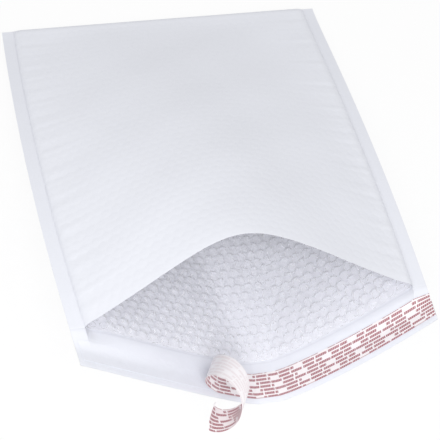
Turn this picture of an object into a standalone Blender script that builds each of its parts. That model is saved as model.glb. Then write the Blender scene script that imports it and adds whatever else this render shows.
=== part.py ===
"""Padded bubble mailer, empty, mouth held open, lip flap out and its liner half peeled.

Metres, +Z up. The mailer lies on its back panel: the far fold is at +Y, the mouth and the lip flap face -Y,
and the origin is on the underside at half of the flat length.
"""

import math

import bmesh
import bpy
import numpy as np

# Flat sizes
WIDTH = 0.362  # across the flat mailer, side seams included
POCKET = 0.466  # far fold to the mouth's edge
FLAP = 0.042  # lip flap past the mouth
SEAM = 0.013  # sealed band along each long side
PAPER = 0.0003
GAP = 0.0003  # clearance between pieces that touch

# How the mouth stands open
SEAM_RISE = 0.083  # side seams above the table at the mouth
ARCH_RISE = 0.079  # front panel above the side seams at the mouth
ARCH_ROUNDING = 0.29  # 0 is a sharp ridge
ARCH_LEAN = -0.057  # ridge to the left of the middle, as a share of the half width
ARCH_FADE = 0.8  # how fast the ridge flattens towards the far fold
KEEL_ROUNDING = 0.135
KEEL_LEAN = 0.087
KEEL_FADE = 0.6
KEEL_PRESS_MOUTH = 0.02  # share of the keel that its weight presses flat
KEEL_PRESS_FOLD = 0.25

# Bubble lining
PADDING = 0.011  # two layers of bubbles where the panels lie close
ROUND_EDGE = 0.009  # the padding swells to its full height over this distance
LINING_MARGIN = 0.005  # paper left bare inside the mouth
FILM = 0.0005
BUBBLE_PITCH = 0.011
BUBBLE_HEIGHT = 0.0043
BUBBLE_SHOULDER = 0.0013  # how far the bubble's wall leans in
BUBBLE_ROWS = 7  # rows modelled inwards from the mouth, the film deeper in is plain

# Glue band and release liner
GLUE_WIDTH = 0.022
GLUE_THICKNESS = 0.0002
GLUE_END_MARGIN = 0.004
LINER_WIDTH = 0.026
LINER_THICKNESS = 0.0002
LINER_FROM_MOUTH = 0.011
LIFT_POINT = -0.0295  # where the liner leaves the flap, across from the centre line
CURL_LEAD = math.radians(30.6)  # how far the curl's axis is swung from square
CURL_TILT = math.radians(3.9)  # how much steeper than the flap the axis climbs
CURL_START_RADIUS = 0.0289
CURL_END_RADIUS = 0.0069  # radius at the liner's loose end
CURL_BLEND = 0.012  # length over which the liner changes from lying to curling

# Fineness of the mesh
COLUMNS = 14
ROWS = 8
EDGE_STEPS = 3
CROWDING = 0.4  # how much the columns crowd towards the ridge and the keel

HALF_WIDTH = WIDTH / 2
HALF_POCKET = HALF_WIDTH - SEAM
FOLD_Y = (POCKET + FLAP) / 2
LINING_END = POCKET - LINING_MARGIN
LINING_OUTER = PAPER / 2 + GAP
LINING_INNER = LINING_OUTER + FILM
PEELED_LENGTH = HALF_WIDTH + LIFT_POINT  # the liner is as long as the flap is wide
FRONT, BACK = 1, -1


def smooth(share):
    share = np.clip(share, 0, 1)
    return share * share * (3 - 2 * share)


def tent(across, rounding):
    """1 on the ridge and 0 at both seams, with straight flanks and a rounded top."""
    return 1 - (np.hypot(across, rounding) - rounding) / (np.hypot(1, rounding) - rounding)


def round_edge(distance):
    """Quarter of an ellipse: 0 at the seam, 1 from ROUND_EDGE inwards."""
    share = np.clip(distance / ROUND_EDGE, 0, 1)
    return np.sqrt(1 - (1 - share) ** 2)


def panel(u, v, side):
    """Middle of the paper at u across from the centre line and v from the far fold, as it stands open.

    The paper keeps its width, so the seams come together as the ridge rises, and its length, so a point that
    rises comes back towards the fold. Between the mouth and the liner the slopes run out to the flap's corners.
    """
    u, v = np.broadcast_arrays(u, v)
    reach = v / POCKET
    half = np.sqrt(HALF_POCKET**2 - ((ARCH_RISE + SEAM_RISE) / 2 * reach) ** 2)
    beyond = np.sign(u) * np.maximum(np.abs(u) - HALF_POCKET, 0)
    x = np.clip(u / HALF_POCKET, -1, 1) * half + beyond
    free = smooth((v - POCKET) / LINER_FROM_MOUTH)
    spread = SEAM * free
    across = np.clip(x / (half + spread), -1, 1)
    far = np.maximum(1 - reach, 0)
    if side == FRONT:
        lean, rounding, rise = ARCH_LEAN, ARCH_ROUNDING + ARCH_FADE * far, ARCH_RISE
    else:
        lean, rounding, rise = KEEL_LEAN, KEEL_ROUNDING + KEEL_FADE * far, SEAM_RISE
    bulge = rise * reach * tent(across - lean * (1 - across**2), rounding)
    padding = PADDING / 2 * round_edge(HALF_POCKET - np.abs(u)) * round_edge(v) * (1 - free)
    seam_height = np.hypot(SEAM_RISE * reach, PADDING / 2) + PAPER / 2
    height = SEAM_RISE * reach + side * bulge
    y = FOLD_Y - np.sqrt(np.maximum(v**2 - height**2 - (x - u) ** 2, 0))
    if side == FRONT:
        z = seam_height + np.hypot(bulge, padding)
    else:
        press = KEEL_PRESS_MOUTH + (KEEL_PRESS_FOLD - KEEL_PRESS_MOUTH) * far
        z = np.maximum(seam_height - (1 + press) * np.hypot(bulge, padding), PAPER / 2)
    return np.stack([x, y, z], axis=-1)


def edge_stations():
    """Distances from a seam or fold that follow the round edge in equal turns."""
    turns = np.linspace(0, math.pi / 2, EDGE_STEPS + 1)
    return ROUND_EDGE * (1 - np.cos(turns))


def column_stations():
    """Places across the pocket, from seam to seam."""
    share = np.linspace(-1, 1, COLUMNS + 1)
    middle = (HALF_POCKET - ROUND_EDGE) * ((1 - CROWDING) * share + CROWDING * share**3)
    edge = HALF_POCKET - edge_stations()[:-1]
    return np.concatenate([-edge, middle, edge[::-1]])


def row_stations():
    """Places along the pocket, from the far fold to the mouth, the lining's end among them."""
    run = np.linspace(ROUND_EDGE, LINING_END, ROWS + 1)
    return np.concatenate([edge_stations()[:-1], run, [POCKET]])


def pocket_grids():
    """Points and inward normals of both panels at the stations. The panels share their seam and fold."""
    u, v = column_stations(), row_stations()[:, None]
    front, back = panel(u, v, FRONT), panel(u, v, BACK)
    loop = np.concatenate([front, back[:, -2:0:-1]], axis=1)
    other = np.concatenate([back, front[:, -2:0:-1]], axis=1)
    around = np.roll(loop, -1, axis=1) - np.roll(loop, 1, axis=1)
    along = np.gradient(loop, axis=0)
    along[0] = loop[1] - other[1]
    count = len(u)
    corners = [0, count - 1]
    inward = np.cross(around, along)
    inward[0, corners] = inward[0, [1, count - 2]] + inward[1, corners]
    inward /= np.linalg.norm(inward, axis=-1, keepdims=True)
    inward[0, corners] *= math.sqrt(2)
    front_inward = inward[:, :count]
    back_inward = np.concatenate([inward[:, :1], inward[:, count:][:, ::-1], inward[:, count - 1 : count]], axis=1)
    return {FRONT: (front, front_inward), BACK: (back, back_inward)}


def flap_stations():
    """Rows of the flap, and its columns with the seam bands at both ends."""
    rows = np.array([POCKET, POCKET + LINER_FROM_MOUTH, POCKET + LINER_FROM_MOUTH + LINER_WIDTH, POCKET + FLAP])
    columns = np.concatenate([[-HALF_WIDTH], column_stations(), [HALF_WIDTH]])
    return rows, columns


def on_flap(u, v, height):
    """Points above the flap's own facets, which are straight between its rows and columns."""
    rows, columns = flap_stations()
    grid = panel(columns, rows[:, None], BACK)
    up = np.cross(np.gradient(grid, axis=1), -np.gradient(grid, axis=0))
    up /= np.linalg.norm(up, axis=-1, keepdims=True)
    return between(grid + height * up, rows, columns, v, u)


def between(grid, rows, columns, v, u):
    """Points on the flat facets of a grid, whose cells are halved as in Lattice.cells."""
    u, v = np.broadcast_arrays(u, v)
    along = np.interp(v, rows, np.arange(len(rows)))
    over = np.interp(u, columns, np.arange(len(columns)))
    i = np.minimum(along.astype(int), len(rows) - 2)
    j = np.minimum(over.astype(int), len(columns) - 2)
    mirrored = j >= (len(columns) - 1) / 2
    inner, outer = np.where(mirrored, j + 1, j), np.where(mirrored, j, j + 1)
    a, b = (along - i)[..., None], np.where(mirrored, j + 1 - over, over - j)[..., None]
    first, last = grid[i, inner], grid[i + 1, outer]
    upper_half = first + b * (grid[i, outer] - first) + a * (last - grid[i, outer])
    lower_half = first + a * (grid[i + 1, inner] - first) + b * (last - grid[i + 1, inner])
    return np.where(b >= a, upper_half, lower_half)


class Lattice:
    """Rows of points and the faces between them, for one mesh."""

    def __init__(self):
        self.mesh = bmesh.new()
        self.bubble = self.mesh.faces.layers.int.new("bubble")

    def row(self, points):
        return [self.mesh.verts.new(point) for point in points]

    def face(self, corners, bubble=0):
        self.mesh.faces.new(corners)[self.bubble] = bubble

    def cells(self, first, second, halves=(0, 1)):
        """Two triangles for each cell between two rows. The cut slopes the other way in the right half."""
        count = len(first) - 1
        for j in range(count):
            if halves[int(j >= count / 2)]:
                corners = first[j + 1], second[j + 1], second[j], first[j]
            else:
                corners = first[j], first[j + 1], second[j + 1], second[j]
            self.face(corners[:3])
            self.face([corners[0], corners[2], corners[3]])

    def grid(self, points):
        rows = [self.row(line) for line in points]
        for first, second in zip(rows, rows[1:]):
            self.cells(first, second)
        return rows

    def fan(self, coarse, fine, places):
        """Faces from a row to a finer one. places says which fine point each coarse point is joined to."""
        for j in range(len(coarse) - 1):
            self.face([coarse[j], coarse[j + 1], *reversed(fine[places[j] : places[j + 1] + 1])])

    def weld(self):
        bmesh.ops.remove_doubles(self.mesh, verts=self.mesh.verts, dist=1e-6)
        bmesh.ops.recalc_face_normals(self.mesh, faces=self.mesh.faces)


def finished(name, mesh, collection, material, smooth_angle=math.radians(30)):
    data = bpy.data.meshes.new(name)
    mesh.to_mesh(data)
    mesh.free()
    data.shade_smooth()
    data.set_sharp_from_angle(angle=smooth_angle)
    data.materials.append(material)
    piece = bpy.data.objects.new(name, data)
    collection.objects.link(piece)
    return piece


def material(name, colour, roughness, metallic=0.0):
    made = bpy.data.materials.new(name)
    made.use_nodes = True
    shader = made.node_tree.nodes["Principled BSDF"]
    shader.inputs["Base Color"].default_value = (*colour, 1)
    shader.inputs["Roughness"].default_value = roughness
    shader.inputs["Metallic"].default_value = metallic
    return made


def thicken(piece, thickness, offset, joins_three_ways=False):
    shell = piece.modifiers.new("thickness", "SOLIDIFY")
    shell.thickness = thickness
    shell.offset = offset
    if joins_three_ways:
        shell.solidify_mode = "NON_MANIFOLD"
        shell.nonmanifold_thickness_mode = "EVEN"
        shell.nonmanifold_merge_threshold = 1e-6


def outer_paper(collection, grids):
    """One folded sheet: front panel, back panel with the lip flap, and the bonded bands at the sides."""
    sheet = Lattice()
    sheet.grid(grids[FRONT][0])
    sheet.grid(grids[BACK][0])
    rows, columns = flap_stations()
    sheet.grid(panel(columns, rows[:, None], BACK))
    for bank in (-1, 1):
        band = bank * np.array([HALF_POCKET, HALF_WIDTH])
        sheet.grid(panel(band, row_stations()[:, None], BACK))
    sheet.weld()
    paper = material("white_paper", (0.80, 0.82, 0.88), 0.6)
    piece = finished("outer_paper", sheet.mesh, collection, paper)
    thicken(piece, PAPER, 0, joins_three_ways=True)
    return piece


def honeycomb_line(line, count):
    """Across and along places of one zigzag line between two rows of bubbles."""
    side = BUBBLE_PITCH / math.sqrt(3)
    k = np.arange(2 * count + 1)
    zigzag = np.where((k + line) % 2 == 0, 1, -1) * side / 4
    return (k - count) * BUBBLE_PITCH / 2, line * side * 1.5 + zigzag


def bubble_field(sheet, skin):
    """Inner face of one panel's film: plain rows deep in, then a honeycomb whose cells become bubbles."""
    rows, columns = row_stations()[:-1], column_stations()
    row_pitch = BUBBLE_PITCH / math.sqrt(3) * 1.5
    start = LINING_END - (BUBBLE_ROWS + 0.5) * row_pitch
    plain = rows[rows < start - row_pitch / 2]
    coarse = sheet.grid(between(skin, rows, columns, plain[:, None], columns))
    count = int(2 * (HALF_POCKET - ROUND_EDGE) / BUBBLE_PITCH)
    inside = np.abs(columns) < count * BUBBLE_PITCH / 2
    left, right = np.flatnonzero(inside)[0], np.flatnonzero(inside)[-1]
    sides = np.concatenate([columns[:left], columns[right + 1 :]])
    lines = []
    for line in range(BUBBLE_ROWS + 1):
        u, v = honeycomb_line(line, count)
        u = np.concatenate([columns[:left], u, columns[right + 1 :]])
        v = start + np.concatenate([np.full(left, line * row_pitch), v, np.full(len(sides) - left, line * row_pitch)])
        lines.append(sheet.row(between(skin, rows, columns, v, u)))
    end = sheet.row(between(skin, rows, columns, LINING_END, columns))
    fine_u = np.concatenate([columns[:left], honeycomb_line(0, count)[0], columns[right + 1 :]])
    places = [int(np.abs(fine_u - u).argmin()) for u in columns]
    sheet.fan(coarse[-1], lines[0], places)
    sheet.fan(end, lines[-1], places)
    for line, (first, second) in enumerate(zip(lines, lines[1:])):
        sheet.cells(first[: left + 1], second[: left + 1], halves=(0, 0))
        sheet.cells(first[left + 2 * count :], second[left + 2 * count :], halves=(1, 1))
        offset = line % 2
        for k in range(offset, 2 * count - 1, 2):
            low, high = first[left + k : left + k + 3], second[left + k : left + k + 3]
            sheet.face([*low, *reversed(high)], bubble=1)
        if offset:
            for k in (0, 2 * count - 1):
                sheet.cells(first[left + k : left + k + 2], second[left + k : left + k + 2])


def bubble_lining(collection, grids):
    """One web of film folded inside the paper, its bubbles raised from the cells of a honeycomb."""
    lining = Lattice()
    for points, inward in grids.values():
        lining.grid((points + LINING_OUTER * inward)[:-1])
        bubble_field(lining, (points + LINING_INNER * inward)[:-1])
    lining.weld()
    rim = [edge for edge in lining.mesh.edges if edge.is_boundary]
    bmesh.ops.bridge_loops(lining.mesh, edges=rim)
    bmesh.ops.recalc_face_normals(lining.mesh, faces=lining.mesh.faces)
    cells = [face for face in lining.mesh.faces if face[lining.bubble]]
    bmesh.ops.inset_individual(
        lining.mesh, faces=cells, thickness=BUBBLE_SHOULDER, depth=BUBBLE_HEIGHT, use_even_offset=True
    )
    film = material("bubble_film", (0.75, 0.76, 0.84), 0.25)
    return finished("bubble_lining", lining.mesh, collection, film)


def adhesive_strip(collection):
    """Thin band of glue along the flap."""
    middle = POCKET + LINER_FROM_MOUTH + LINER_WIDTH / 2
    v = np.array([middle + GLUE_WIDTH / 2, middle - GLUE_WIDTH / 2])
    end = HALF_WIDTH - GLUE_END_MARGIN
    columns = flap_stations()[1]
    u = np.concatenate([[-end], columns[np.abs(columns) < end], [end]])
    band = Lattice()
    band.grid(on_flap(u, v[:, None], PAPER / 2 + GAP))
    glue = material("clear_glue", (0.80, 0.80, 0.78), 0.3)
    piece = finished("adhesive_strip", band.mesh, collection, glue)
    thicken(piece, GLUE_THICKNESS, 1)
    return piece


def curl_profile(length):
    """Run and rise of the curling liner from its lift point. Its radius shrinks evenly to the loose end."""
    fine = np.linspace(0, PEELED_LENGTH + LINER_WIDTH, 1201)
    share = np.minimum(fine / PEELED_LENGTH, 1)
    bend = 1 / (CURL_START_RADIUS + (CURL_END_RADIUS - CURL_START_RADIUS) * share)
    step = np.diff(fine)
    heading = np.concatenate([[0], np.cumsum((bend[1:] + bend[:-1]) / 2 * step)])
    middle = (heading[1:] + heading[:-1]) / 2
    run = np.concatenate([[0], np.cumsum(np.cos(middle) * step)])
    rise = np.concatenate([[0], np.cumsum(np.sin(middle) * step)])
    return np.interp(length, fine, run) + np.minimum(length, 0), np.interp(length, fine, rise)


def lift_frame(height):
    """Lift point, and the directions ahead, along the curl's axis and up, taken from the flap's slope there."""
    middle = POCKET + LINER_FROM_MOUTH + LINER_WIDTH / 2
    reach = LINER_WIDTH / 4
    across, down = math.cos(CURL_LEAD) * reach, math.sin(CURL_LEAD) * reach
    lift = on_flap(LIFT_POINT, middle, height)
    axis = on_flap(LIFT_POINT - down, middle + across, height) - lift
    axis = axis / np.linalg.norm(axis) + np.array([0, 0, math.tan(CURL_TILT)])
    axis /= np.linalg.norm(axis)
    ahead = on_flap(LIFT_POINT - across, middle - down, height) - lift
    ahead -= ahead.dot(axis) * axis
    ahead /= np.linalg.norm(ahead)
    return lift, ahead, axis, np.cross(ahead, axis)


def liner_surface(s, w, height):
    """Liner at s past the lift point and w from its middle line: lying on the flap, then curled over itself."""
    s, w = np.broadcast_arrays(s, w)
    middle = POCKET + LINER_FROM_MOUTH + LINER_WIDTH / 2
    lying = on_flap(np.clip(LIFT_POINT - s, -HALF_WIDTH, HALF_WIDTH), middle + w, height)
    past = s * math.cos(CURL_LEAD) - w * math.sin(CURL_LEAD)
    along = s * math.sin(CURL_LEAD) + w * math.cos(CURL_LEAD)
    run, rise = curl_profile(past)
    lift, ahead, axis, up = lift_frame(height)
    curled = lift + along[..., None] * axis + run[..., None] * ahead + rise[..., None] * up
    share = smooth(past / CURL_BLEND)[..., None]
    return lying * (1 - share) + curled * share


def release_liner(collection):
    """Strip that covers the glue from the right corner, peeled from the left and curled over itself."""
    columns = flap_stations()[1]
    lying = LIFT_POINT - columns[columns > LIFT_POINT + LINER_WIDTH / 2][::-1]
    curl = np.linspace(lying[-1], PEELED_LENGTH, 40)[1:]
    s = np.concatenate([lying, curl])
    w = np.linspace(LINER_WIDTH / 2, -LINER_WIDTH / 2, 4)
    strip = Lattice()
    strip.grid(liner_surface(s[:, None], w, PAPER / 2 + GAP + GLUE_THICKNESS + GAP))
    paper = material("coated_liner", (0.86, 0.80, 0.80), 0.4)
    piece = finished("release_liner", strip.mesh, collection, paper)
    thicken(piece, LINER_THICKNESS, 1)
    return piece


def main():
    for old in list(bpy.data.objects):
        bpy.data.objects.remove(old, do_unlink=True)
    collection = bpy.data.collections.new("bubble_mailer")
    bpy.context.scene.collection.children.link(collection)
    grids = pocket_grids()
    outer_paper(collection, grids)
    bubble_lining(collection, grids)
    adhesive_strip(collection)
    release_liner(collection)


main()
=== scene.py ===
# Padded bubble mailer, empty: mouth held open, lip flap out, release liner half peeled into a curl.
# Metres. u runs across the flat mailer from its centre line, v along it from the far fold, past the mouth.

import math

import bmesh
import bpy
import numpy as np
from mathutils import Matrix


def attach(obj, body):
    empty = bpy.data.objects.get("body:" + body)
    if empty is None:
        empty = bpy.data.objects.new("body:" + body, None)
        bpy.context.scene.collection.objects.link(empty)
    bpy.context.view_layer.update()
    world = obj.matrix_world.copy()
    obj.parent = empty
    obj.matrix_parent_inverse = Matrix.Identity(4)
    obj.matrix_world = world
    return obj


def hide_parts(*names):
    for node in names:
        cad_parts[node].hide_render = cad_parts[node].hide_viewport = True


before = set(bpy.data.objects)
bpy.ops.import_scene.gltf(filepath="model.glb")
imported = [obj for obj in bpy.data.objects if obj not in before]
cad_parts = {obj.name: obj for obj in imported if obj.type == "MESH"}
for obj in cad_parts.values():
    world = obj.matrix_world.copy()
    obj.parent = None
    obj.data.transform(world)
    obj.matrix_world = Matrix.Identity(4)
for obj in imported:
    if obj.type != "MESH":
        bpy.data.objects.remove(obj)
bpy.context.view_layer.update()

front, back = 1, -1
weldDistance = 1e-6
sharpAngle = math.radians(40)

mailer = {
    "width": 0.362,
    "pocket": 0.466,  # far fold to mouth
    "flap": 0.042,
    "seam": 0.013,  # bonded band along each side
    "paper": 0.0003,
    "gap": 0.0003,  # air between pieces that touch
    "seamRise": 0.083,  # side seams above the table at the mouth
    "archRise": 0.079,  # front panel above the side seams at the mouth
    "archRounding": 0.29,
    "archLean": -0.057,
    "archFade": 0.8,  # the ridge flattens towards the far fold
    "keelRounding": 0.135,
    "keelLean": 0.087,
    "keelFade": 0.6,
    "pressMouth": 0.02,  # share of the keel pressed flat by its weight
    "pressFold": 0.25,
    "padding": 0.011,  # two layers of bubbles
    "bareMouth": 0.002,  # paper without film inside the mouth's edge
    "roundEdge": 0.009,
    "flapEase": 0.026,  # length past the mouth over which the padding and the seams' pull fade
    "linerFromMouth": 0.011,
    "linerWidth": 0.026,
}
halfWidth = mailer["width"] / 2
halfPocket = halfWidth - mailer["seam"]
foldY = (mailer["pocket"] + mailer["flap"]) / 2
bandMiddle = mailer["pocket"] + mailer["linerFromMouth"] + mailer["linerWidth"] / 2

view = {
    "place": (-0.2158, -0.7791, 0.9532),
    "turn": (38.8267, -4.4827, -11.4728),  # degrees
    "focalPixels": 1214.95,
    "imagePixels": 440,
    "sensor": 36,
}


def addCamera():
    # the focal length in pixels of the photograph, turned into millimetres on the sensor
    lens = bpy.data.cameras.new("camera")
    lens.sensor_width = view["sensor"]
    lens.lens = view["focalPixels"] / view["imagePixels"] * view["sensor"]
    camera = bpy.data.objects.new("camera", lens)
    camera.location = view["place"]
    camera.rotation_euler = [math.radians(angle) for angle in view["turn"]]
    bpy.context.scene.collection.objects.link(camera)
    bpy.context.scene.camera = camera


addCamera()
print("camera placed")


def smooth(share):
    # 3s^2 - 2s^3, level at both ends
    share = np.clip(share, 0, 1)
    return share * share * (3 - 2 * share)


def tent(across, rounding):
    # 1 on the ridge, 0 at both seams: straight flanks from a hyperbola whose tip has the given rounding
    return 1 - (np.hypot(across, rounding) - rounding) / (np.hypot(1, rounding) - rounding)


def roundEdge(distance):
    # quarter of an ellipse: 0 at the seam, 1 from roundEdge inwards
    share = np.clip(distance / mailer["roundEdge"], 0, 1)
    return np.sqrt(1 - (1 - share) ** 2)


handling = {
    "puckerLift": 0.00042,
    "puckerReach": 0.011,  # how far puckers run in from the side seams
    "puckerPitch": 0.017,
    "puckerPhase": (1.7, 0.9),  # set apart by the seam, and by the panel
    "dentLift": 0.0007,
    "dentPitch": 0.13,
    "dentMargin": 0.03,  # dents grow to their full depth over this distance from an edge
}


def handledLift(u, v, side):
    # puckers: three sines along the seam times a hump that is 0 at the seam and fades inwards;
    # dents: product of two slow sines over the whole panel, 0 at every edge
    inFrom = np.maximum(halfPocket - np.abs(u), 0)
    hump = (inFrom / handling["puckerReach"]) * np.exp(1 - inFrom / handling["puckerReach"])
    turn = 2 * np.pi * v / handling["puckerPitch"]
    phase = handling["puckerPhase"][0] * np.sign(u) + handling["puckerPhase"][1] * side
    waves = np.sin(turn + phase) + np.sin(0.62 * turn + 2.3 * phase) + 0.7 * np.sin(1.43 * turn - phase)
    slow = 2 * np.pi / handling["dentPitch"]
    dents = np.sin(slow * (u + 0.4 * v) + side) * np.sin(0.8 * slow * (v - 0.3 * u) + 2 * side)
    margin = np.clip(inFrom / handling["dentMargin"], 0, 1) * np.clip(v / handling["dentMargin"], 0, 1)
    return handling["puckerLift"] * waves / 2.7 * hump * roundEdge(v) + handling["dentLift"] * dents * margin


def panel(u, v, side):
    # middle of the paper. Across: straight flanks from seam to ridge, the seams drawn together so that the
    # paper keeps its width. Along: the rise grows evenly with v, and a point that rises comes back towards
    # the fold. Past the mouth the slopes run out to the flap's corners and the padding ends.
    u, v = np.broadcast_arrays(u, v)
    reach = v / mailer["pocket"]
    half = np.sqrt(halfPocket**2 - ((mailer["archRise"] + mailer["seamRise"]) / 2 * reach) ** 2)
    beyond = np.sign(u) * np.maximum(np.abs(u) - halfPocket, 0)
    x = np.clip(u / halfPocket, -1, 1) * half + beyond
    free = smooth((v - mailer["pocket"]) / mailer["flapEase"])
    across = np.clip(x / (half + mailer["seam"] * free), -1, 1)
    far = np.maximum(1 - reach, 0)
    if side == front:
        lean, rise = mailer["archLean"], mailer["archRise"]
        rounding = mailer["archRounding"] + mailer["archFade"] * far
    else:
        lean, rise = mailer["keelLean"], mailer["seamRise"]
        rounding = mailer["keelRounding"] + mailer["keelFade"] * far
    bulge = rise * reach * tent(across - lean * (1 - across**2), rounding)
    padding = mailer["padding"] / 2 * roundEdge(halfPocket - np.abs(u)) * roundEdge(v) * (1 - free)
    seamHeight = np.hypot(mailer["seamRise"] * reach, mailer["padding"] / 2) + mailer["paper"] / 2
    height = mailer["seamRise"] * reach + side * bulge
    y = foldY - np.sqrt(np.maximum(v**2 - height**2 - (x - u) ** 2, 0))
    lift = handledLift(u, v, side) * (1 - free)
    if side == front:
        z = seamHeight + np.hypot(bulge, padding) + lift
    else:
        press = mailer["pressMouth"] + (mailer["pressFold"] - mailer["pressMouth"]) * far
        z = np.maximum(seamHeight - (1 + press) * np.hypot(bulge, padding) - lift, mailer["paper"] / 2)
    return np.stack([x, y, z], axis=-1)


fineness = {"columns": 96, "rows": 128, "edgeSteps": 6, "flapRows": 14, "bandColumns": 3}
liningEnd = mailer["pocket"] - mailer["bareMouth"]


def edgePlaces():
    # distances from a seam that follow the round edge in equal turns: radius times (1 - cosine)
    return mailer["roundEdge"] * (1 - np.cos(np.linspace(0, math.pi / 2, fineness["edgeSteps"] + 1)))


def acrossPlaces():
    # places from seam to seam: the round edges' own, and even steps between them
    edge = halfPocket - edgePlaces()[:-1]
    inner = halfPocket - mailer["roundEdge"]
    return np.concatenate([-edge, np.linspace(-inner, inner, fineness["columns"] + 1), edge[::-1]])


def alongPlaces():
    # places from the fold to the mouth: the round fold's own, and even steps to the film's end
    run = np.linspace(mailer["roundEdge"], liningEnd, fineness["rows"] + 1)
    return np.concatenate([edgePlaces()[:-1], run, [mailer["pocket"]]])


def pocketGrids():
    # points of both panels, and inward normals: the cross product of the steps round the pocket and along it
    u, v = acrossPlaces(), alongPlaces()[:, None]
    frontPoints, backPoints = panel(u, v, front), panel(u, v, back)
    loop = np.concatenate([frontPoints, backPoints[:, -2:0:-1]], axis=1)
    other = np.concatenate([backPoints, frontPoints[:, -2:0:-1]], axis=1)
    around = np.roll(loop, -1, axis=1) - np.roll(loop, 1, axis=1)
    along = np.gradient(loop, axis=0)
    along[0] = loop[1] - other[1]
    count = len(u)
    inward = np.cross(around, along)
    inward[0, [0, count - 1]] = inward[0, [1, count - 2]] + inward[1, [0, count - 1]]
    inward /= np.linalg.norm(inward, axis=-1, keepdims=True)
    inward[0, [0, count - 1]] *= math.sqrt(2)
    backInward = [inward[:, :1], inward[:, count:][:, ::-1], inward[:, count - 1 : count]]
    return {front: (frontPoints, inward[:, :count]), back: (backPoints, np.concatenate(backInward, axis=1))}


def between(grid, rows, columns, v, u):
    # bilinear reading of a grid at v and u
    u, v = np.broadcast_arrays(u, v)
    along = np.interp(v, rows, np.arange(len(rows)))
    over = np.interp(u, columns, np.arange(len(columns)))
    i = np.minimum(along.astype(int), len(rows) - 2)
    j = np.minimum(over.astype(int), len(columns) - 2)
    a, b = (along - i)[..., None], (over - j)[..., None]
    low = grid[i, j] * (1 - b) + grid[i, j + 1] * b
    high = grid[i + 1, j] * (1 - b) + grid[i + 1, j + 1] * b
    return low * (1 - a) + high * a


def flapPlaces():
    # even steps past the mouth, and the panels' places across with the paper's two edges
    rows = mailer["pocket"] + mailer["flap"] * np.linspace(0, 1, fineness["flapRows"] + 1)
    return rows, np.concatenate([[-halfWidth], acrossPlaces(), [halfWidth]])


def onFlap(u, v, height):
    # a point of the flap plus height times its upward normal
    rows, columns = flapPlaces()
    grid = panel(columns, rows[:, None], back)
    up = np.cross(np.gradient(grid, axis=1), -np.gradient(grid, axis=0))
    up /= np.linalg.norm(up, axis=-1, keepdims=True)
    return between(grid + height * up, rows, columns, v, u)


def quads(number):
    # the cells between neighbouring rows and columns of a block
    return np.stack([number[:-1, :-1], number[:-1, 1:], number[1:, 1:], number[1:, :-1]], axis=-1)


class Surface:
    # blocks of points with their places on the flat material, and faces as arrays of point numbers, each with
    # a mark that its material reads: 0, or 1 for a second finish
    def __init__(self):
        self.points, self.flat, self.faces, self.marks, self.count = [], [], [], [], 0

    def add(self, points, u, v):
        number = self.count + np.arange(points[..., 0].size).reshape(points.shape[:-1])
        self.points.append(points.reshape(-1, 3))
        self.flat.append(np.stack(np.broadcast_arrays(u, v, number)[:2], axis=-1).reshape(-1, 2))
        self.count += number.size
        return number

    def face(self, corners, mark=0):
        corners = corners.reshape(-1, corners.shape[-1])
        self.faces.append(corners)
        self.marks.append(np.full(len(corners), mark, np.float32))

    def build(self, name):
        # one mesh: seams merged, faces turned outwards, smooth except at sharp edges
        data = bpy.data.meshes.new(name)
        points, flat = np.concatenate(self.points), np.concatenate(self.flat)
        data.from_pydata(points.tolist(), [], [corners for block in self.faces for corners in block.tolist()])
        corner = np.empty(len(data.loops), np.int32)
        data.loops.foreach_get("vertex_index", corner)
        data.uv_layers.new(name="flat").data.foreach_set("uv", flat[corner].ravel().astype(np.float32))
        data.attributes.new("mark", "FLOAT", "FACE").data.foreach_set("value", np.concatenate(self.marks))
        shape = bmesh.new()
        shape.from_mesh(data)
        bmesh.ops.remove_doubles(shape, verts=shape.verts, dist=weldDistance)
        bmesh.ops.recalc_face_normals(shape, faces=shape.faces)
        shape.to_mesh(data)
        shape.free()
        data.shade_smooth()
        data.set_sharp_from_angle(angle=sharpAngle)
        piece = bpy.data.objects.new(name, data)
        bpy.context.scene.collection.objects.link(piece)
        return piece


def plate(surface, points, u, v, thickness, mark):
    # a thin closed plate on an open grid: the grid, the grid moved along its normal, and the sides between
    normal = np.cross(np.gradient(points, axis=1), np.gradient(points, axis=0))
    normal /= np.linalg.norm(normal, axis=-1, keepdims=True)
    low = surface.add(points, u, v)
    high = surface.add(points + thickness * normal, u, v)
    surface.face(quads(high), mark)
    surface.face(quads(low[:, ::-1]))
    for a, b in ((low[0], high[0]), (high[-1], low[-1]), (high[:, 0], low[:, 0]), (low[:, -1], high[:, -1])):
        surface.face(quads(np.stack([a, b])))


def finishPiece(piece, node, material):
    # it moves with the part's only body and stands for its solid
    piece.data.materials.append(material)
    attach(piece, "root")
    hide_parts(node)


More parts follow.
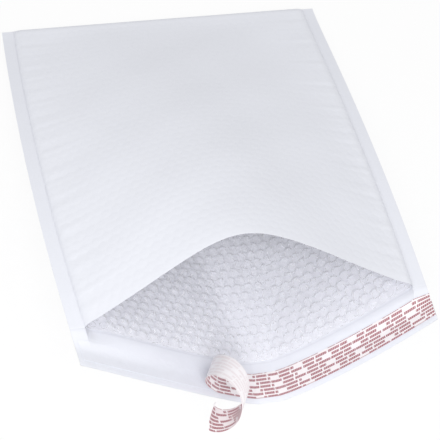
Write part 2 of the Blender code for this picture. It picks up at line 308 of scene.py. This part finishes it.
class Wire:
    # one output socket: arithmetic on it adds Math nodes to its tree
    def __init__(self, nodes, socket):
        self.nodes, self.socket = nodes, socket

    def math(self, operation, *values):
        return self.nodes.node("Math", {"operation": operation}, dict(enumerate(values)))

    def __add__(self, other):
        return self.math("ADD", self, other)

    def __sub__(self, other):
        return self.math("SUBTRACT", self, other)

    def __rsub__(self, other):
        return self.math("SUBTRACT", other, self)

    def __mul__(self, other):
        return self.math("MULTIPLY", self, other)

    def __truediv__(self, other):
        return self.math("DIVIDE", self, other)

    def __mod__(self, other):
        return self.math("FLOORED_MODULO", self, other)

    def __pow__(self, other):
        return self.math("POWER", self, other)

    def __lt__(self, other):
        return self.math("LESS_THAN", self, other)

    def __abs__(self):
        return self.math("ABSOLUTE", self)

    __radd__ = __add__
    __rmul__ = __mul__

    def whole(self):
        return self.math("FLOOR", self)

    def least(self, other):
        return self.math("MINIMUM", self, other)

    def most(self, other):
        return self.math("MAXIMUM", self, other)

    def ramp(self, low, high):
        # 0 below low, 1 above high, smooth between
        return self.nodes.node("MapRange", {"interpolation_type": "SMOOTHSTEP"}, {0: self, 1: low, 2: high})


class Nodes:
    # a tree whose nodes are added by kind, with settings first and socket values or wires after
    def __init__(self, tree):
        self.tree = tree

    def node(self, kind, settings, sockets, output=0):
        made = self.tree.nodes.new("ShaderNode" + kind)
        for name, value in settings.items():
            setattr(made, name, value)
        for key, value in sockets.items():
            self.plug(made.inputs[key], value)
        return Wire(self, made.outputs[output])

    def plug(self, socket, value):
        if isinstance(value, Wire):
            self.tree.links.new(value.socket, socket)
        else:
            socket.default_value = value


class Shader(Nodes):
    # a material round its Principled surface
    def __init__(self, name, **fixed):
        self.material = bpy.data.materials.new(name)
        self.material.use_nodes = True
        super().__init__(self.material.node_tree)
        self.surface = self.tree.nodes["Principled BSDF"]
        for socket, value in fixed.items():
            self.surface.inputs[socket].default_value = value

    def drive(self, **wires):
        for socket, wire in wires.items():
            self.plug(self.surface.inputs[socket.replace("_", " ")], wire)

    def objectPlaces(self):
        return self.node("TexCoord", {}, {}, "Object")

    def flatPlaces(self):
        # u and v of the flat material, in metres
        place = self.node("UVMap", {"uv_map": "flat"}, {})
        return self.node("SeparateXYZ", {}, {0: place}, 0), self.node("SeparateXYZ", {}, {0: place}, 1)

    def mark(self):
        return self.node("Attribute", {"attribute_name": "mark"}, {}, "Fac")

    def noise(self, place, scale, detail=2.0, roughness=0.5):
        sockets = {"Vector": place, "Scale": scale, "Detail": detail, "Roughness": roughness}
        return self.node("TexNoise", {}, sockets)

    def blend(self, share, first, second):
        return self.node("Mix", {"data_type": "RGBA"}, {0: share, 6: first, 7: second}, 2)

    def bump(self, height, strength, distance):
        return self.node("Bump", {}, {"Strength": strength, "Distance": distance, "Height": height})


def bubbleDistance(u, v, pitch, start):
    # distance from the nearest centre of a honeycomb: the lesser one of two rectangular lattices, which are
    # set half a cell apart
    period = pitch * math.sqrt(3)
    lattices = []
    for shift in (0, 0.5):
        du = (u + (0.5 + shift) * pitch) % pitch - pitch / 2
        dv = (v - start + (0.5 + shift) * period) % period - period / 2
        lattices.append((du * du + dv * dv) ** 0.5)
    return lattices[0].least(lattices[1])


paperSheet = {
    "colour": (0.83, 0.845, 0.905, 1),
    "shade": (0.75, 0.765, 0.825, 1),  # painted shade on the seam, mouth and fold crease lines, and the greyer bonded bands
    "roughness": 0.55,
    "fibrePitch": 0.0006,
    "fibreHeight": 0.00003,
    "cloudScale": 28,  # slow unevenness
    "cloudHeight": 0.0004,
    "imprint": 0.00012,  # height of the bubbles' faint imprint
    "imprintReach": (0.2, 0.56),  # from its top to its foot, in bubble pitches
    "imprintFade": 0.004,  # length over which it ends at the mouth
    "bandBlur": 0.0008,
    "lineWidth": 0.0012,
    "foldCrease": 0.0045,  # where painted shade marks a pressed crease along the far fold
    # strengths of the darkening: painted shade on the seam, mouth and fold lines, greyer bonded bands, random
    # tone from cloud and fibre
    "shadeAndTone": {"seam": 0.28, "band": 0.25, "mouth": 0.6, "fold": 0.45, "cloud": 0.25, "fibre": 0.12},
}

lining = {
    "film": 0.0005,
    "pitch": 0.011,
    "height": 0.0043,
    "footRadius": 0.0049,
    "slack": 0.3,  # the slackest bubble is lower by this share
    "topShift": 0.0005,
    "nearRows": 18,  # rows by the mouth with round bubbles, the hidden ones deeper in have six sides
    "colour": (0.94, 0.946, 1.0, 1),
    # painted highlight colour of the bubbles' rims
    "rimHighlightColour": (0.99, 0.99, 1.0, 1),
    "hides": 0.14,  # share of what lies under the film that it hides, on its flats
    "rimHides": 0.5,
    "rimRadius": 0.0037,  # where a bubble's side turns over into its top
    "rimWidth": 0.0007,
    "rimHighlightPatch": 210,  # painted highlights on the rims, only in places: scale of the noise that breaks them up
    "creaseGlintHides": 0.8,
    "glintWrinkles": (0.66, 0.74),  # heights of the wrinkles that show as white specks: painted glints, which also let more of the film's real reflection show
    "wrinkleScale": 330,
    "wrinkleBump": 0.45,
    "wrinkleHeight": 0.0012,
    "roughness": 0.16,
    "bend": 1.5,  # index of refraction
    "endMargin": 0.2,  # flat film past the last row, in rows
    "seed": 5,
}
rowPitch = lining["pitch"] * math.sqrt(3) / 2
bubbleRows = int((liningEnd - mailer["roundEdge"]) / rowPitch - 1)
bubbleStart = liningEnd - (bubbleRows + lining["endMargin"]) * rowPitch
bubblesAcross = int(2 * (halfPocket - mailer["roundEdge"]) / lining["pitch"])


def paperMaterial():
    # white, with painted shade along the seams, the mouth and a crease by the far fold, greyer on the bonded
    # bands, and random tone. Relief: the bubbles' imprint, fibres and slow unevenness
    shader = Shader("whitePaper", Roughness=paperSheet["roughness"])
    place = shader.objectPlaces()
    u, v = shader.flatPlaces()
    length = abs(v)
    fibre = shader.noise(place, 1 / paperSheet["fibrePitch"], 3)
    cloud = shader.noise(place, paperSheet["cloudScale"], 3)
    share, line = paperSheet["shadeAndTone"], paperSheet["lineWidth"]
    # painted shade: dark lines along the seams, the mouth and a crease by the far fold; the bonded bands are
    # greyer
    seamShade = 1 - abs(abs(u) - halfPocket).ramp(0, line)
    band = abs(u).ramp(halfPocket, halfPocket + paperSheet["bandBlur"])
    mouthShade = 1 - abs(v + mailer["pocket"]).ramp(0, line)
    foldShade = 1 - abs(length - paperSheet["foldCrease"]).ramp(0, line)
    creaseShadeAndBands = (seamShade * share["seam"]).most(band * share["band"])
    creaseShadeAndBands = creaseShadeAndBands.most(mouthShade * share["mouth"]).most(foldShade * share["fold"])
    toned = (cloud - 0.5) * share["cloud"] + (fibre - 0.5) * share["fibre"] + creaseShadeAndBands
    shader.drive(Base_Color=shader.blend(toned.ramp(-0.25, 1.0), paperSheet["colour"], paperSheet["shade"]))
    distance = bubbleDistance(u, length, lining["pitch"], bubbleStart + rowPitch / 2)
    padded = (1 - band) * (1 - length.ramp(liningEnd - paperSheet["imprintFade"], liningEnd))
    top, bottom = (reach * lining["pitch"] for reach in paperSheet["imprintReach"])
    imprint = (1 - distance.ramp(top, bottom)) * padded
    grain = fibre * paperSheet["fibreHeight"] + cloud * paperSheet["cloudHeight"]
    shader.drive(Normal=shader.bump(imprint * paperSheet["imprint"] + grain, 1.0, 1.0))
    return shader.material


def addPaper(grids):
    # both panels, the flap and the bonded bands as one sheet, which then gets its thickness
    sheet = Surface()
    u, v = acrossPlaces(), alongPlaces()[:, None]
    sheet.face(quads(sheet.add(grids[front][0], u, v)))
    sheet.face(quads(sheet.add(grids[back][0], u, -v)))
    rows, columns = flapPlaces()
    sheet.face(quads(sheet.add(panel(columns, rows[:, None], back), columns, -rows[:, None])))
    for bank in (-1, 1):
        band = bank * np.linspace(halfPocket, halfWidth, fineness["bandColumns"] + 1)
        sheet.face(quads(sheet.add(panel(band, v, back), band, v)))
    piece = sheet.build("outerPaper")
    shell = piece.modifiers.new("thickness", "SOLIDIFY")
    shell.thickness = mailer["paper"]
    shell.offset = 0
    shell.solidify_mode = "NON_MANIFOLD"
    shell.nonmanifold_thickness_mode = "EVEN"
    shell.nonmanifold_merge_threshold = weldDistance
    # large faces decide the shading, so that the thin cut edge doesn't tint the face beside it
    evened = piece.modifiers.new("shading", "WEIGHTED_NORMAL")
    evened.keep_sharp = True
    finishPiece(piece, "outer_paper", paperMaterial())


grids = pocketGrids()
addPaper(grids)
print("paper made")


def bubbleRings(sides):
    # radii and heights of the rings of one bubble, from its foot to the rim of its flat top
    foot, height = lining["footRadius"], lining["height"]
    if sides == 6:
        return [(0.96 * foot, 0.0), (0.72 * foot, 0.9 * height)]
    return [(foot, 0.0), (0.95 * foot, 0.45 * height), (0.8 * foot, 0.84 * height), (0.45 * foot, height)]


def addBubbles(film, skin, corners, centreU, centreV, sides, chance):
    # each cell: its hexagon is joined to the foot of the bubble, then ring to ring, then a flat top. A ring's
    # point is centre + radius (cos, sin) on the flat film, read off the skin and raised along its normal.
    # Its chance from 0 to 1 makes a bubble slack, and turned seven times round it gives its lean.
    turn = np.arange(sides) * 2 * np.pi / sides - np.pi / 2
    fullness = 1 - lining["slack"] * chance[:, None]
    heading = 7 * 2 * np.pi * chance[:, None]
    rings = []
    for radius, height in bubbleRings(sides):
        shift = lining["topShift"] * height / lining["height"]
        u = centreU[:, None] + radius * np.cos(turn) + shift * np.cos(heading)
        v = centreV[:, None] + radius * np.sin(turn) + shift * np.sin(heading)
        base, up = (between(skin[grid], skin["rows"], skin["columns"], v, u) for grid in ("points", "inward"))
        rings.append(film.add(base + (height * fullness)[..., None] * up, u, v))
    foot = rings[0]
    following = np.roll(corners, -1, axis=1)
    if sides == 6:
        film.face(np.stack([corners, following, np.roll(foot, -1, axis=1), foot], axis=-1))
    else:
        first, middle, last = foot[:, ::2], foot[:, 1::2], np.roll(foot, -2, axis=1)[:, ::2]
        film.face(np.stack([corners, following, middle, first], axis=-1))
        film.face(np.stack([following, last, middle], axis=-1))
    for low, high in zip(rings, rings[1:]):
        film.face(np.stack([low, np.roll(low, -1, axis=1), np.roll(high, -1, axis=1), high], axis=-1))
    film.face(rings[-1])


def addSkin(film, points, inward, outer, inner, chances):
    # one panel's film: a milky backing, and a clear bubble sheet whose rows zigzag round a honeycomb's cells
    rows, columns = alongPlaces()[:-1], acrossPlaces()
    points, inward = points[:-1], inward[:-1]
    margin = edgePlaces() - halfPocket
    k = np.arange(2 * bubblesAcross + 1)
    honeycomb = (k - bubblesAcross) * lining["pitch"] / 2
    u = np.concatenate([margin, honeycomb, -margin[::-1]])
    straight = np.concatenate([edgePlaces(), bubbleStart + rowPitch * np.arange(bubbleRows + 1), [liningEnd]])
    v = np.repeat(straight[:, None], len(u), axis=1)
    film.face(quads(film.add(between(points + outer * inward, rows, columns, v, u), u, v)), 1)
    firstLine, left = len(edgePlaces()), len(margin)
    line = np.arange(bubbleRows + 1)[:, None]
    zigzag = np.where((k + line) % 2 == 0, 1, -1) * rowPitch / 6
    v[firstLine : firstLine + bubbleRows + 1, left : left + len(k)] += zigzag
    skin = {"points": points + inner * inward, "inward": inward, "rows": rows, "columns": columns}
    inside = film.add(between(skin["points"], rows, columns, v, u), u, v)
    isCell = np.zeros((len(straight) - 1, len(u) - 1), bool)
    row, cell = np.meshgrid(np.arange(bubbleRows), np.arange(bubblesAcross), indexing="ij")
    first = 2 * cell + row % 2
    fits = first + 2 < len(k)
    row, first = row[fits], first[fits]
    at = firstLine + row, left + first
    isCell[at] = isCell[at[0], at[1] + 1] = True
    film.face(quads(inside)[~isCell])
    low, high = inside[at[0]], inside[at[0] + 1]
    n, j = np.arange(len(first)), at[1]
    # anticlockwise from the lower middle corner
    corners = [low[n, j + 1], low[n, j + 2], high[n, j + 2], high[n, j + 1], high[n, j], low[n, j]]
    corners = np.stack(corners, axis=-1)
    centreU = honeycomb[first + 1]
    centreV = straight[at[0]] + rowPitch / 2
    near = row >= bubbleRows - lining["nearRows"]
    for chosen, sides in ((near, 12), (~near, 6)):
        chance = chances[: len(first)][chosen]
        addBubbles(film, skin, corners[chosen], centreU[chosen], centreV[chosen], sides, chance)


def filmMaterial():
    # clear on its flats, with painted highlights in patches where a bubble's side turns over, and white
    # specks on wrinkles that are painted glints and also show more of the real reflection. The backing hides
    # all
    shader = Shader("bubbleFilm", Roughness=lining["roughness"], IOR=lining["bend"])
    place = shader.objectPlaces()
    u, v = shader.flatPlaces()
    backing = shader.mark()
    distance = bubbleDistance(u, abs(v), lining["pitch"], bubbleStart + rowPitch / 2)
    # painted highlight: a lighter, more opaque ring in patches round each bubble's top
    patch = shader.noise(place, lining["rimHighlightPatch"], 1).ramp(0.42, 0.6)
    rim = (1 - abs(distance - lining["rimRadius"]).ramp(0, lining["rimWidth"])) * patch
    wrinkle = shader.noise(place, lining["wrinkleScale"], 3, 0.6)
    # painted glints: white specks on the wrinkles' highest places, where more of the real reflection also
    # shows
    crease = wrinkle.ramp(*lining["glintWrinkles"])
    shader.drive(Base_Color=shader.blend(rim * (1 - backing), lining["colour"], lining["rimHighlightColour"]))
    hides = (rim * lining["rimHides"]).most(crease * lining["creaseGlintHides"]).most(lining["hides"])
    shader.drive(Alpha=hides.most(backing))
    shader.drive(Normal=shader.bump(wrinkle, lining["wrinkleBump"], lining["wrinkleHeight"]))
    return shader.material


def addLining(grids):
    # both panels' film, each a small clearance inside the paper
    film = Surface()
    outer = mailer["paper"] / 2 + mailer["gap"]
    for side, (points, inward) in grids.items():
        chances = np.random.default_rng(lining["seed"] + side).random(bubbleRows * bubblesAcross)
        addSkin(film, points, inward, outer, outer + lining["film"], chances)
    finishPiece(film.build("bubbleLining"), "bubble_lining", filmMaterial())


addLining(grids)
print("lining made")


glueBand = {
    "width": 0.022,
    "thickness": 0.0002,
    "endMargin": 0.004,
    "colour": (0.82, 0.835, 0.895, 1),
    "streakScale": 160,
    "streakHeight": 0.0006,
    "roughness": 0.3,
    "rows": 9,
}


def glueMaterial():
    # streaks from the glue's own tone to the paper's
    shader = Shader("clearGlue", Roughness=glueBand["roughness"])
    place = shader.objectPlaces()
    streaks = shader.noise(place, glueBand["streakScale"], 3)
    shader.drive(Base_Color=shader.blend(streaks.ramp(0.3, 0.7), glueBand["colour"], paperSheet["colour"]))
    shader.drive(Normal=shader.bump(streaks, 0.3, glueBand["streakHeight"]))
    return shader.material


def addGlue():
    # a plate on the flap, as wide as the band and short of both ends
    end = halfWidth - glueBand["endMargin"]
    inner = acrossPlaces()
    u = np.concatenate([[-end], inner[np.abs(inner) < end], [end]])
    v = (bandMiddle + glueBand["width"] * np.linspace(0.5, -0.5, glueBand["rows"]))[:, None]
    band = Surface()
    # the rows run towards the fold, which makes the plate's normal point up
    points = onFlap(u, v, mailer["paper"] / 2 + mailer["gap"])
    plate(band, points, u, v, glueBand["thickness"], 0)
    finishPiece(band.build("glueBand"), "adhesive_strip", glueMaterial())


addGlue()
print("glue made")


liner = {
    "thickness": 0.0002,
    "liftPoint": -0.0295,  # where it leaves the flap
    "lead": math.radians(30.6),  # how far the curl's axis is swung from square
    "tilt": math.radians(3.9),
    "startRadius": 0.0289,
    "endRadius": 0.0069,
    "blend": 0.012,
    "colour": (0.91, 0.865, 0.88, 1),
    "backColour": (0.95, 0.92, 0.935, 1),
    "ink": (0.34, 0.085, 0.11, 1),
    "rowPitch": 0.0037,
    "rowStart": 0.18,  # in row pitches
    "rowFill": 0.65,  # share of a row that is inked
    "rowLag": 0.0013,  # each row starts a little later than the last
    "blockPeriod": 0.054,
    "blockLength": 0.0445,
    "dashPitch": 0.0125,
    "dashGap": 0.0013,
    "tickPitch": 0.0017,
    "tickFill": 0.72,
    "betweenTicks": 0.45,  # strength of the ink there
    "edgeLine": 0.0009,
    "edgeInk": 0.55,
    "showThrough": 0.16,
    "waveScale": 90,
    "waveHeight": 0.0008,
    "roughness": 0.38,
    "steps": {"lying": 110, "curled": 150, "across": 11, "bend": 1201},
}
peeledLength = halfWidth + liner["liftPoint"]


def curlProfile(length):
    # run and rise of a strip whose radius shrinks evenly: the heading is the sum of 1 / radius, and the place
    # is the sum of its cosine and sine
    fine = np.linspace(0, peeledLength + mailer["linerWidth"], liner["steps"]["bend"])
    share = np.minimum(fine / peeledLength, 1)
    bend = 1 / (liner["startRadius"] + (liner["endRadius"] - liner["startRadius"]) * share)
    step = np.diff(fine)
    heading = np.concatenate([[0], np.cumsum((bend[1:] + bend[:-1]) / 2 * step)])
    middle = (heading[1:] + heading[:-1]) / 2
    run = np.concatenate([[0], np.cumsum(np.cos(middle) * step)])
    rise = np.concatenate([[0], np.cumsum(np.sin(middle) * step)])
    return np.interp(length, fine, run) + np.minimum(length, 0), np.interp(length, fine, rise)


def liftFrame(height):
    # lift point, and the directions ahead, along the curl's axis and up, from the flap's slope
    reach = mailer["linerWidth"] / 4
    across, down = math.cos(liner["lead"]) * reach, math.sin(liner["lead"]) * reach
    lift = onFlap(liner["liftPoint"], bandMiddle, height)
    axis = onFlap(liner["liftPoint"] - down, bandMiddle + across, height) - lift
    axis = axis / np.linalg.norm(axis) + np.array([0, 0, math.tan(liner["tilt"])])
    axis /= np.linalg.norm(axis)
    ahead = onFlap(liner["liftPoint"] - across, bandMiddle - down, height) - lift
    ahead -= ahead.dot(axis) * axis
    ahead /= np.linalg.norm(ahead)
    return lift, ahead, axis, np.cross(ahead, axis)


def linerSurface(s, w, height):
    # s past the lift point, w from the strip's middle line: the flap's surface before the lift line, the curl
    # after it, smoothly mixed over the blend length
    s, w = np.broadcast_arrays(s, w)
    lying = onFlap(np.clip(liner["liftPoint"] - s, -halfWidth, halfWidth), bandMiddle + w, height)
    past = s * math.cos(liner["lead"]) - w * math.sin(liner["lead"])
    along = s * math.sin(liner["lead"]) + w * math.cos(liner["lead"])
    run, rise = curlProfile(past)
    lift, ahead, axis, up = liftFrame(height)
    curled = lift + along[..., None] * axis + run[..., None] * ahead + rise[..., None] * up
    share = smooth(past / liner["blend"])[..., None]
    return lying * (1 - share) + curled * share


def linerMaterial():
    # rows of dashes along the strip, in blocks with gaps, every other row set half a block along
    shader = Shader("coatedLiner", Roughness=liner["roughness"])
    place = shader.objectPlaces()
    s, w = shader.flatPlaces()
    printed = shader.mark()
    rows = w / liner["rowPitch"] + liner["rowStart"]
    row, inRow = rows.whole(), rows % 1
    run = s + abs(row) % 2 * 0.5 * liner["blockPeriod"] + row * liner["rowLag"]
    block = run % liner["blockPeriod"] < liner["blockLength"]
    key = shader.node("CombineXYZ", {}, {0: row, 1: (run / liner["dashPitch"]).whole()})
    chance = shader.node("TexWhiteNoise", {"noise_dimensions": "2D"}, {"Vector": key})
    dash = run % liner["dashPitch"] < liner["dashPitch"] - liner["dashGap"] * (0.4 + chance)
    tick = run % liner["tickPitch"] < liner["tickFill"] * liner["tickPitch"]
    edge = abs(inRow - 0.5) < liner["rowFill"] / 2
    inked = block * dash * edge * (liner["betweenTicks"] + (1 - liner["betweenTicks"]) * tick)
    cutLine = (w - (mailer["linerWidth"] / 2 - liner["edgeLine"])).ramp(0, 0.0001)
    ink = inked.most(cutLine * liner["edgeInk"])
    wave = shader.noise(place, liner["waveScale"], 2)
    shown = shader.blend(ink * (0.85 + 0.15 * wave), liner["colour"], liner["ink"])
    behind = shader.blend(ink * liner["showThrough"], liner["backColour"], liner["ink"])
    shader.drive(Base_Color=shader.blend(printed, behind, shown))
    shader.drive(Normal=shader.bump(wave, 0.15, liner["waveHeight"]))
    return shader.material


def addLiner():
    # a plate on the strip's surface, printed on the side away from the glue
    strip, steps, half = Surface(), liner["steps"], mailer["linerWidth"] / 2
    lying = np.linspace(liner["liftPoint"] - halfWidth, -half, steps["lying"])
    s = np.concatenate([lying[:-1], np.linspace(-half, peeledLength, steps["curled"])])
    w = np.linspace(half, -half, steps["across"])
    height = mailer["paper"] / 2 + 2 * mailer["gap"] + glueBand["thickness"]
    points = linerSurface(s[:, None], w, height)
    plate(strip, points, s[:, None], w, liner["thickness"], 1)
    finishPiece(strip.build("releaseLiner"), "release_liner", linerMaterial())


addLiner()
print("liner made")


light = {
    "world": 0.71,
    "key": 6.8,
    "keyPlace": (-0.16, -0.85, 0.78),
    "keySize": 0.5,
    "aim": (0, -0.05, 0.05),
}
floorSettings = {
    "reach": 6.0,
    "level": -0.0003,
    "colour": (0.92, 0.92, 0.93, 1),
    "white": 0.9,  # share of plain white that the camera sees in the floor
    "roughness": 0.9,
}


def seenDirectly(nodes):
    # 1 for rays from the camera, and for those that come by way of gloss or clear film
    kinds = "Is Camera Ray", "Is Glossy Ray", "Is Transmission Ray"
    camera, gloss, clear = (nodes.node("LightPath", {}, {}, kind) for kind in kinds)
    return camera.most(gloss).most(clear)


def addWorld():
    # soft light on the object, plain white behind it
    world = bpy.data.worlds.new("studio")
    bpy.context.scene.world = world
    world.use_nodes = True
    nodes = Nodes(world.node_tree)
    nodes.tree.nodes.remove(nodes.tree.nodes["Background"])
    soft = nodes.node("Background", {}, {"Color": (1, 1, 1, 1), "Strength": light["world"]})
    plain = nodes.node("Background", {}, {"Color": (1, 1, 1, 1), "Strength": 1})
    mixed = nodes.node("MixShader", {}, {0: seenDirectly(nodes), 1: soft, 2: plain})
    nodes.plug(nodes.tree.nodes["World Output"].inputs[0], mixed)


def addFloor():
    # a plain square, mostly white to the camera, so that the shadow stays faint
    data = bpy.data.meshes.new("floor")
    reach, level = floorSettings["reach"], floorSettings["level"]
    corners = [(-reach, -reach, level), (reach, -reach, level), (reach, reach, level), (-reach, reach, level)]
    data.from_pydata(corners, [], [(0, 1, 2, 3)])
    floor = bpy.data.objects.new("floor", data)
    bpy.context.scene.collection.objects.link(floor)
    shader = Shader("floor", Roughness=floorSettings["roughness"])
    shader.drive(Base_Color=floorSettings["colour"])
    white = shader.node("Emission", {}, {})
    share = seenDirectly(shader) * floorSettings["white"]
    mixed = shader.node("MixShader", {}, {0: share, 1: Wire(shader, shader.surface.outputs[0]), 2: white})
    shader.plug(shader.tree.nodes["Material Output"].inputs[0], mixed)
    data.materials.append(shader.material)


def addKeyLamp():
    # turned first down from level, then round, so that it faces its aim
    lamp = bpy.data.lights.new("keyLamp", "AREA")
    lamp.size = light["keySize"]
    lamp.energy = light["key"]
    made = bpy.data.objects.new("keyLamp", lamp)
    made.location = light["keyPlace"]
    aim = np.array(light["aim"]) - np.array(light["keyPlace"])
    flat = math.hypot(aim[0], aim[1])
    made.rotation_euler = (math.atan2(flat, -aim[2]), 0, math.atan2(-aim[0], aim[1]))
    bpy.context.scene.collection.objects.link(made)


addWorld()
addFloor()
addKeyLamp()
bpy.context.scene.view_settings.view_transform = "Standard"
print("stage lit")
